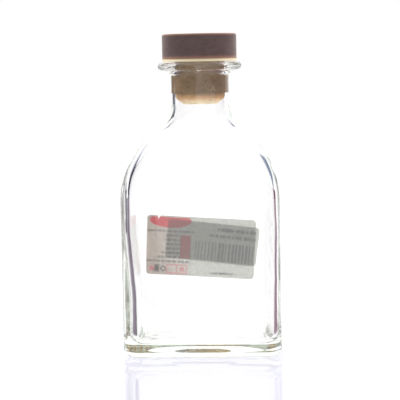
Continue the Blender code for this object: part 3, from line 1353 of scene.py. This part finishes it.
@dataclass(frozen=True)
class BarPrint:
    """Plain upright bars with broken rules over them."""

    ink: Colour = INK
    ink_share: float = 0.85
    bars: Edges = (-0.36, 0.93, -0.93, 0.02)
    bar_pitch: float = 0.0017
    rules: Edges = (-0.42, 0.94, 0.2, 0.92)
    rule_pitch: float = 0.0034
    dashes: float = 700.0

    def mask(self, press: Press) -> Socket:
        """Where the ink lies."""
        rules = press.rows(self.rules, self.rule_pitch, self.dashes)
        return press.graph.union(press.bars(self.bars, self.bar_pitch), rules)

    def colour(self, plain_paper_and_lit_wood: Value, press: Press) -> Socket:
        """The paper's own colour with this print on it."""
        return press.graph.mix(press.graph.product(self.mask(press), self.ink_share), plain_paper_and_lit_wood, self.ink)


@dataclass(frozen=True)
class ColouredPrint:
    """A red oval and column with broken rules over them, and small plain marks below."""

    ink: Colour = INK
    red: Colour = tone(240, 48, 74)
    brick: Colour = tone(226, 96, 90)
    pink: Colour = tone(240, 150, 162)
    ink_share: float = 0.66
    brick_share: float = 0.9
    pink_share: float = 0.8
    oval: Edges = (-0.56, 0.84, 0.38, 0.24)
    oval_window: Edges = (-0.97, 0.0, 0.4, 0.95)
    column: Edges = (-0.37, -0.18, -0.42, 0.36)
    marks: tuple[Edges, ...] = ((-0.92, -0.84, -0.86, -0.72), (-0.36, -0.28, -0.86, -0.72))
    frame_outside: Edges = (-0.61, -0.22, -0.95, -0.63)
    frame_insides: tuple[Edges, Edges] = ((-0.59, -0.43, -0.91, -0.67), (-0.41, -0.24, -0.91, -0.67))
    ring_outside: Edges = (-0.665, -0.79, 0.055, 0.1)
    ring_inside: Edges = (-0.665, -0.79, 0.03, 0.05)
    upright_mark: Edges = (-0.83, -0.74, -0.9, -0.66)
    rules: tuple[Edges, ...] = (
        (-0.92, -0.36, -0.46, 0.4), (-1.7, -0.12, 0.42, 0.58), (-2.3, -0.2, -0.6, -0.46), (0.05, 0.62, -0.93, -0.78),
    )
    rule_pitch: float = 0.0022
    dashes: float = 1100.0

    def colour(self, plain_paper_and_lit_wood: Value, press: Press) -> Socket:
        """Prints the sticker.

        Args:
            plain_paper_and_lit_wood: the paper's own colour.
            press: places the print.

        Returns:
            The printed colour.
        """
        graph = press.graph
        frame_insides = graph.math("ADD", *(press.block(edges) for edges in self.frame_insides))
        frames = graph.math("SUBTRACT", press.block(self.frame_outside), frame_insides, True)
        marks = graph.union(frames, *(press.block(edges) for edges in self.marks))
        ring = graph.math("SUBTRACT", press.oval(self.ring_outside), press.oval(self.ring_inside), True)
        rules = (press.rows(edges, self.rule_pitch, self.dashes) for edges in self.rules)
        dark = graph.union(ring, press.block(self.upright_mark), *rules)
        printed = graph.mix(graph.product(press.block(self.column), self.brick_share), plain_paper_and_lit_wood, self.brick)
        printed = graph.mix(graph.product(marks, self.pink_share), printed, self.pink)
        oval = graph.product(press.oval(self.oval), press.block(self.oval_window))
        printed = graph.mix(oval, printed, self.red)
        return graph.mix(graph.product(dark, self.ink_share), printed, self.ink)


@dataclass(frozen=True)
class PaperFinish:
    """Thin paper that lets light through: printed outside, so that the print shows from behind as well."""

    name: str
    paper: Colour
    printing: Union[ColouredPrint, BarPrint]
    warm: Colour = WHITE
    warm_span: Span = (-0.026, 0.0)
    over: Optional[StickerPlace] = None
    over_printing: BarPrint = BarPrint()
    # painted shade under the other sticker, and the painted shadow of its bars
    painted_overlap_level: float = 0.84
    painted_bar_shadow_level: float = 0.77
    see_through: float = 0.6
    show_through: float = 0.5
    fibre_scale: float = 1500.0
    fibre_strength: float = 0.5
    fibre_height: float = 0.00002
    patch_scale: float = 520.0
    patch_strength: float = 0.5
    speck_scale: float = 230.0
    speck_size: float = 0.16
    smoothest: float = 0.65
    roughest: float = 0.85

    def make(self, place: StickerPlace, thickness: float) -> bpy.types.Material:
        """Builds the material.

        Args:
            place: the sticker's own place and size.
            thickness: the paper's thickness.

        Returns:
            The material.
        """
        material, graph, surface = new_material(self.name)
        x, depth, z = graph.axes(graph.place())
        outside = graph.math("GREATER_THAN", depth, thickness / 2)
        fibre = use(graph, fibres(), Scale=self.fibre_scale, Strength=self.fibre_strength).outputs
        patches = use(graph, mottle(), Scale=self.patch_scale, Strength=self.patch_strength).outputs["Shade"]
        warmth = graph.mix(graph.span(x, *self.warm_span), self.warm, WHITE)
        dyed = graph.node("ShaderNodeMix", {0: 1.0, 6: self.paper, 7: warmth}, data_type="RGBA", blend_type="MULTIPLY")
        plain_paper_and_lit_wood = graph.shaded(dyed.outputs[2], graph.product(fibre["Shade"], patches))
        printed = self.printing.colour(plain_paper_and_lit_wood, Press(graph, place, x, z))
        shown = graph.mix(graph.span(outside, 0.0, 1.0, self.show_through, 1.0), plain_paper_and_lit_wood, printed)
        # painted shade where the other sticker lies over this one
        if self.over is not None:
            shown = graph.shaded(shown, self.painted_overlap_shade(graph, place, x, z))
        specks = use(graph, pits(), Scale=self.speck_scale, Size=self.speck_size).outputs["Mask"]
        colour = graph.mix(specks, shown, WHITE)
        graph.fill(surface, {
            "Base Color": colour,
            "Roughness": graph.span(fibre["Height"], *NOISE_MIDDLE, self.smoothest, self.roughest),
            "Normal": graph.relief(fibre["Height"], self.fibre_height),
        })
        through = graph.node("ShaderNodeBsdfTranslucent", {"Color": colour}).outputs[0]
        graph.show(graph.blend(self.see_through, surface.outputs[0], through))
        return material

    def painted_overlap_shade(self, graph: Graph, place: StickerPlace, x: Value, z: Value) -> Socket:
        """Painted shade: darkens the paper where another sticker lies over it and holds back light from behind, with
        the shadow of its bars showing through faintly as painted shade.

        Args:
            graph: the material's graph.
            place: this sticker's place and size.
            x: how far across this sticker a point is.
            z: how far up it is.

        Returns:
            The painted shade, 1 where nothing lies over the paper.
        """
        c, s, across, upward = self.over.seen_on(place)
        there_x = graph.math("ADD", graph.math("ADD", graph.product(x, c), graph.product(z, s)), across)
        there_z = graph.math("ADD", graph.math("SUBTRACT", graph.product(z, c), graph.product(x, s)), upward)
        press = Press(graph, self.over, there_x, there_z)
        whole: Edges = (-1.0, 1.0, -1.0, 1.0)
        sheet = graph.span(press.block(whole), 0.0, 1.0, 1.0, self.painted_overlap_level)
        ink = graph.span(self.over_printing.mask(press), 0.0, 1.0, 1.0, self.painted_bar_shadow_level)
        return graph.product(sheet, ink)


@dataclass
class Sticker:
    """A thin paper rectangle with rounded corners, flat against the bottle's back."""

    name: str
    node: str
    slot: Slot
    place: StickerPlace
    paper: PaperFinish
    thickness: float = 0.0001
    corner: float = 0.0018
    corner_steps: int = 10
    wear: float = 0.00018
    wear_step: float = 0.0008
    wear_shares: tuple[float, float, float] = (0.5, 0.3, 0.2)
    long_wave: Span = (2100, 2700)
    short_wave: Span = (-4100, 5200)
    tear: Optional[float] = None
    tear_shape: Sequence[Span] = (
        (0.0008, 0), (0.0003, 0.0009), (-0.0004, 0.0021), (-0.0002, 0.0007), (-0.0007, 0),
    )

    def wear_and_rim_light(self, x: float, z: float) -> Span:
        """Wears the edge down a little and unevenly.

        Args:
            x: how far across a point of the edge is.
            z: how far up it is.

        Returns:
            The point drawn in towards the middle.
        """
        even, long_share, short_share = self.wear_shares
        long = long_share * math.sin(self.long_wave[0] * x + self.long_wave[1] * z)
        short = short_share * math.sin(self.short_wave[1] * z + self.short_wave[0] * x)
        share = 1 - self.wear * (even + long + short) / math.hypot(x, z)
        return x * share, z * share

    def outline(self) -> list[Span]:
        """Draws the sticker's edge, with its small tear.

        Returns:
            The points, anticlockwise from the top right corner.
        """
        edge = []
        half_x, half_z = self.place.width / 2 - self.corner, self.place.height / 2 - self.corner
        for turn, side_x, side_z in ((0, 1, 1), (1, -1, 1), (2, -1, -1), (3, 1, -1)):
            start = turn * QUARTER_TURN
            rounded = arc(self.corner, start, start + QUARTER_TURN, self.corner_steps)
            edge += [(side_x * half_x + out, side_z * half_z + up) for out, up in rounded]
            if turn == 0 and self.tear is not None:
                edge += [(self.tear + a, self.place.height / 2 - b) for a, b in self.tear_shape]
        wear_and_rim_light = []
        for (x, z), (next_x, next_z) in zip(edge, edge[1:] + edge[:1]):
            count = max(int(math.hypot(next_x - x, next_z - z) / self.wear_step), 1)
            wear_and_rim_light += [self.wear_and_rim_light(x + (next_x - x) * i / count, z + (next_z - z) * i / count) for i in range(count)]
        return wear_and_rim_light

    def build(self) -> bpy.types.Object:
        """Builds the paper and dresses it.

        Returns:
            The sticker.
        """
        edge = self.outline()
        count = len(edge)
        points = [(x, 0.0, z) for x, z in edge] + [(x, self.thickness, z) for x, z in edge]
        faces = [tuple(range(count)), tuple(range(2 * count - 1, count - 1, -1))]
        faces += stitched(2, count)
        piece = new_object(self.name, points, faces, self.paper.make(self.place, self.thickness))
        piece.data.set_sharp_from_angle(angle=SHARP_ANGLE)
        piece.matrix_world = self.place.matrix()
        settle(piece, Body.BOTTLE, self.node)
        return piece


@dataclass(frozen=True)
class Surrounding:
    """A plain dark or grey shape round the sheet that the glass mirrors.

    Its corners are (degrees from straight behind, positive to the right; degrees of slope), anticlockwise
    as seen from the bottle, and they make a convex shape.
    """

    corners: tuple[Span, ...]
    colour: Colour
    fade: float = 1.5

    def mask(self, graph: Graph, across: Value, upward: Value) -> Socket:
        """Where it shows.

        Args:
            graph: the world's graph.
            across: the direction round the bottle, in degrees from straight behind.
            upward: the direction's slope in degrees.

        Returns:
            The mask, with soft edges.
        """
        sides = []
        for (x, y), (next_x, next_y) in zip(self.corners, self.corners[1:] + self.corners[:1]):
            length = math.hypot(next_x - x, next_y - y)
            inward_x, inward_y = (y - next_y) / length, (next_x - x) / length
            reach = graph.math("ADD", graph.product(across, inward_x), graph.product(upward, inward_y))
            limit = x * inward_x + y * inward_y
            sides.append(graph.span(reach, limit - self.fade, limit + self.fade))
        return graph.product(*sides)


@dataclass
class Sheet:
    """The white sheet that the bottle stands on, which keeps its shadow and a faint mirror image.

    Light that the glass has mirrored sees darker colours at the sheet's two sides. Their spans are in degrees
    from straight behind, positive to the right, or in metres from the bottle's axis.
    """

    side: float = 1.6
    front: float = -0.6
    back: float = 1.5
    drop: float = 0.00005
    colour: Colour = tone(244, 244, 246)
    roughness: float = 0.6
    # painted reflection: a faint lavender tint of the sheet near the bottle, seen by the camera
    tint: Colour = (0.95, 0.94, 1.06)
    glow: float = 1.04
    glow_beside: float = 1.0
    light: float = 1.25
    shadow: float = 0.08
    mirror: float = 0.26
    mirror_roughness: float = 0.05
    mirror_span: Span = (0.12, 0.22)
    foot_span: Span = (0.055, 0.085)
    left: Colour = (0.17, 0.12, 0.18)
    left_span: Span = (-76.0, -32.0)
    far_left: Colour = (0.06, 0.065, 0.10)
    far_left_span: Span = (-60.0, -32.0)
    far_left_fade: float = 3.0
    far_left_away: Span = (0.36, 0.44)
    left_corner: Colour = (0.04, 0.06, 0.05)
    left_corner_span: Span = (-105.0, -85.0)
    right: Colour = (0.26, 0.14, 0.20)
    right_span: Span = (51.0, 57.0)
    front_span: Span = (166.0, 172.0)

    def beside(self, graph: Graph, heading: Value, away: Value, mirrored: Value) -> Socket:
        """Colours the sheet for light that comes by way of the glass.

        Args:
            graph: the sheet's graph.
            heading: the direction of a point, in degrees from straight behind.
            away: its distance from the bottle's axis.
            mirrored: 1 for light that the glass has mirrored, and otherwise 0.

        Returns:
            The colour.
        """
        colour = graph.mix(graph.span(heading, *self.left_span, 1.0, 0.0), GLARE, self.left)
        far_left = graph.band(heading, *self.far_left_span, self.far_left_fade)
        colour = graph.mix(graph.product(far_left, graph.span(away, *self.far_left_away)), colour, self.far_left)
        colour = graph.mix(graph.span(heading, *self.left_corner_span, 1.0, 0.0), colour, self.left_corner)
        colour = graph.mix(graph.span(heading, *self.right_span), colour, self.right)
        in_front = graph.span(graph.math("ABSOLUTE", heading), *self.front_span)
        colour = graph.mix(in_front, colour, GLARE)
        colour = graph.mix(graph.span(away, *self.foot_span, 1.0, 0.0), colour, GLARE)
        return graph.mix(mirrored, GLARE, colour)

    def build(self) -> bpy.types.Object:
        """Builds the sheet and dresses it.

        Returns:
            The sheet, which isn't part of the bottle.
        """
        material, graph, surface = new_material("white_sheet")
        graph.fill(surface, {"Base Color": self.colour, "Roughness": self.roughness})
        path = graph.node("ShaderNodeLightPath").outputs
        straight = path["Is Camera Ray"]
        mirrored = graph.math("GREATER_THAN", path["Glossy Depth"], 0.5)
        x, y, _ = graph.axes(graph.place())
        away = graph.math("SQRT", graph.math("ADD", graph.product(x, x), graph.product(y, y)))
        beside = self.beside(graph, graph.heading(x, y), away, mirrored)
        near = graph.span(away, *self.mirror_span, 1.0, 0.0)
        # painted reflection: near the bottle the camera sees the sheet tinted lavender
        shown = graph.mix(straight, beside, graph.mix(near, WHITE, self.tint))
        lit = graph.glow(shown, graph.span(straight, 0.0, 1.0, self.glow_beside, self.glow))
        mirror = graph.node("ShaderNodeBsdfGlossy", {"Color": WHITE, "Roughness": self.mirror_roughness}).outputs[0]
        seen = graph.blend(graph.product(straight, self.mirror, near), lit, mirror)
        seen = graph.blend(self.shadow, seen, surface.outputs[0])
        to_the_eye = graph.math("LESS_THAN", path["Diffuse Depth"], 0.5)
        graph.show(graph.blend(to_the_eye, graph.glow(GLARE, self.light), seen))
        side, front, back = self.side, self.front, self.back
        corners = [(-side, front, 0), (side, front, 0), (side, back, 0), (-side, back, 0)]
        piece = new_object("sheet", corners, [(0, 1, 2, 3)], material)
        piece.location.z = -self.drop
        return piece


@dataclass
class Studio:
    """The white sheet, the soft lamps, what the glass mirrors, and the camera."""

    surroundings: tuple[Surrounding, ...] = (
        Surrounding(((-52, 13.5), (-27, 17), (-27, 20), (-52, 22.5)), (0.55, 0.58, 0.70)),
        Surrounding(((-125, -36), (-41, 22), (-125, 22)), (0.03, 0.012, 0.045), 1.0),
        Surrounding(((-125, -30), (-65, -30), (-65, -1), (-125, -1)), (0.10, 0.07, 0.11), 3.0),
        Surrounding(((-125, 20), (-57, 20), (-57, 40), (-125, 40)), (0.04, 0.03, 0.06)),
        Surrounding(((-56, -4.5), (-27, -4.5), (-27, 1), (-56, 4)), (0.06, 0.065, 0.10)),
        Surrounding(((27.0, 15.5), (64, 8), (64, 30), (44, 30)), (0.17, 0.21, 0.31), 1.0),
        Surrounding(((53, -30), (115, -30), (115, 30), (53, 4)), (0.18, 0.07, 0.12), 1.5),
        Surrounding(((-166, -30), (-125, -30), (-125, 30), (-166, 30)), (0.14, 0.16, 0.16)),
        Surrounding(((125, -30), (166, -30), (166, 30), (125, 30)), (0.75, 0.75, 0.77)),
    )
    front_light: Colour = (0.24, 0.24, 0.25)
    back_light: Colour = (1.7, 1.7, 1.7)
    back_light_lean: float = 0.2
    back_light_span: Span = (-0.7, 0.5)
    top_light: Colour = (1.0, 1.0, 1.0)
    top_light_span: Span = (0.4, 0.8)
    lamps: tuple[tuple[str, Place], ...] = (("left_lamp", (-1.2, 0.5, 0.5)), ("right_lamp", (1.2, 0.4, 0.6)))
    lamp_size: float = 0.6
    lamp_power: float = 5.0
    lamp_aim: Place = (0, 0, 0.08)
    camera_distance: float = 0.70
    camera_height: float = 0.14309
    azimuth: float = math.radians(4.03)
    heading_shift: float = math.radians(0.0823)
    pitch: float = math.radians(5.652)
    roll: float = math.radians(1.092)
    lens: float = 130.22
    film_width: float = 36.0
    sight: Span = (0.01, 100.0)
    bounces: int = 40
    soft_bounces: int = 8

    def camera(self) -> None:
        """Places the camera where the photograph was taken from."""
        data = bpy.data.cameras.new("camera")
        data.lens, data.sensor_width = self.lens, self.film_width
        data.clip_start, data.clip_end = self.sight
        piece = bpy.data.objects.new("camera", data)
        bpy.context.scene.collection.objects.link(piece)
        heading = self.azimuth + self.heading_shift
        flat = Vector((-math.sin(heading), math.cos(heading), 0))
        forward = flat * math.cos(self.pitch) - Vector((0, 0, math.sin(self.pitch)))
        right = Vector((math.cos(heading), math.sin(heading), 0))
        up = right.cross(forward)
        c, s = math.cos(self.roll), math.sin(self.roll)
        tilted_right, tilted_up = right * c - up * s, right * s + up * c
        eye = Vector((
            self.camera_distance * math.sin(self.azimuth),
            -self.camera_distance * math.cos(self.azimuth),
            self.camera_height,
        ))
        turn = Matrix((tilted_right, tilted_up, -forward)).transposed().to_4x4()
        piece.matrix_world = Matrix.Translation(eye) @ turn
        bpy.context.scene.camera = piece

    def world(self) -> None:
        """White behind the glass, darker things that it mirrors, and soft light on everything else."""
        world = bpy.data.worlds.new("studio")
        bpy.context.scene.world = world
        world.use_nodes = True
        graph = Graph(world.node_tree)
        path = graph.node("ShaderNodeLightPath").outputs
        x, y, z = graph.axes(graph.place("Generated"))
        heading, slope = graph.heading(x, y), graph.math("DEGREES", graph.math("ARCSINE", z))
        room = GLARE
        for thing in self.surroundings:
            room = graph.mix(thing.mask(graph, heading, slope), room, thing.colour)
        mirrored = graph.math("GREATER_THAN", path["Glossy Depth"], 0.5)
        seen = graph.mix(path["Is Camera Ray"], graph.mix(mirrored, GLARE, room), WHITE)
        behind = graph.math("SUBTRACT", y, graph.product(x, self.back_light_lean))
        lighting = graph.mix(graph.span(behind, *self.back_light_span), self.front_light, self.back_light)
        lighting = graph.mix(graph.span(z, *self.top_light_span), lighting, self.top_light)
        lit = graph.math("GREATER_THAN", path["Diffuse Depth"], 0.5)
        background = world.node_tree.nodes["Background"]
        graph.fill(background, {"Color": graph.mix(lit, seen, lighting), "Strength": 1.0})

    def lamp(self, name: str, place: Place) -> None:
        """A soft square lamp that points at the bottle's middle.

        Args:
            name: the lamp's name.
            place: where it stands.
        """
        data = bpy.data.lights.new(name, "AREA")
        data.energy, data.size = self.lamp_power, self.lamp_size
        data.shape = "SQUARE"
        piece = bpy.data.objects.new(name, data)
        piece.location = place
        towards = Vector(self.lamp_aim) - Vector(place)
        piece.rotation_euler = towards.to_track_quat("-Z", "Y").to_euler()
        piece.visible_camera = False
        piece.visible_glossy = False
        piece.visible_transmission = False
        bpy.context.scene.collection.objects.link(piece)

    def build(self) -> None:
        """Sets up the whole studio."""
        self.camera()
        Sheet().build()
        self.world()
        for name, place in self.lamps:
            self.lamp(name, place)
        scene = bpy.context.scene
        scene.view_settings.view_transform = "Standard"
        scene.cycles.max_bounces = self.bounces
        scene.cycles.glossy_bounces = self.bounces
        scene.cycles.transmission_bounces = self.bounces
        scene.cycles.diffuse_bounces = self.soft_bounces
        LOG.info("studio: camera, sheet, world and %d lamps", len(self.lamps))


@dataclass
class StickerPair:
    """The two stickers on the bottle's back, the smaller one over the larger."""

    wall_back: float
    film: float = 0.00003
    step: float = 0.00015
    product_size: Span = (0.055, 0.030)
    product_middle: Span = (-0.0028, 0.048)
    product_tilt: float = math.radians(3.6)
    product_colour: Colour = tone(236, 237, 232)
    product_warm: Colour = (0.93, 0.85, 0.83)
    product_tear: float = -0.0215
    barcode_size: Span = (0.0458, 0.0196)
    barcode_middle: Span = (0.0032, 0.0502)
    barcode_tilt: float = math.radians(6.7)
    barcode_colour: Colour = tone(236, 236, 232)
    barcode_wear: float = 0.00005

    def build(self) -> None:
        """Builds both stickers."""
        back = self.wall_back + self.film
        product = StickerPlace(*self.product_size, *self.product_middle, self.product_tilt, back)
        barcode = StickerPlace(*self.barcode_size, *self.barcode_middle, self.barcode_tilt, back + self.step)
        paper = PaperFinish(
            "product_paper", self.product_colour, ColouredPrint(), warm=self.product_warm, over=barcode
        )
        Sticker(
            "product_sticker", "product_label", Slot.PRODUCT_PAPER, product, paper, tear=self.product_tear
        ).build()
        paper = PaperFinish("barcode_paper", self.barcode_colour, BarPrint())
        Sticker(
            "barcode_sticker", "barcode_label", Slot.BARCODE_PAPER, barcode, paper, wear=self.barcode_wear
        ).build()


def main() -> None:
    """Builds every piece in order, then the studio."""
    logging.basicConfig(level=logging.INFO, format="%(name)s: %(message)s", force=True)
    bottle = GlassBottle()
    bottle.build()
    lip_radius = bottle.bore + bottle.neck_wall + bottle.lip_overhang
    stopper = Stopper(bottle.lip_top(), bottle.bore, lip_radius)
    stopper.head()
    stopper.cork()
    stopper.glue_film()
    StickerPair(bottle.depth / 2).build()
    Studio().build()


if __name__ == "__main__":
    main()
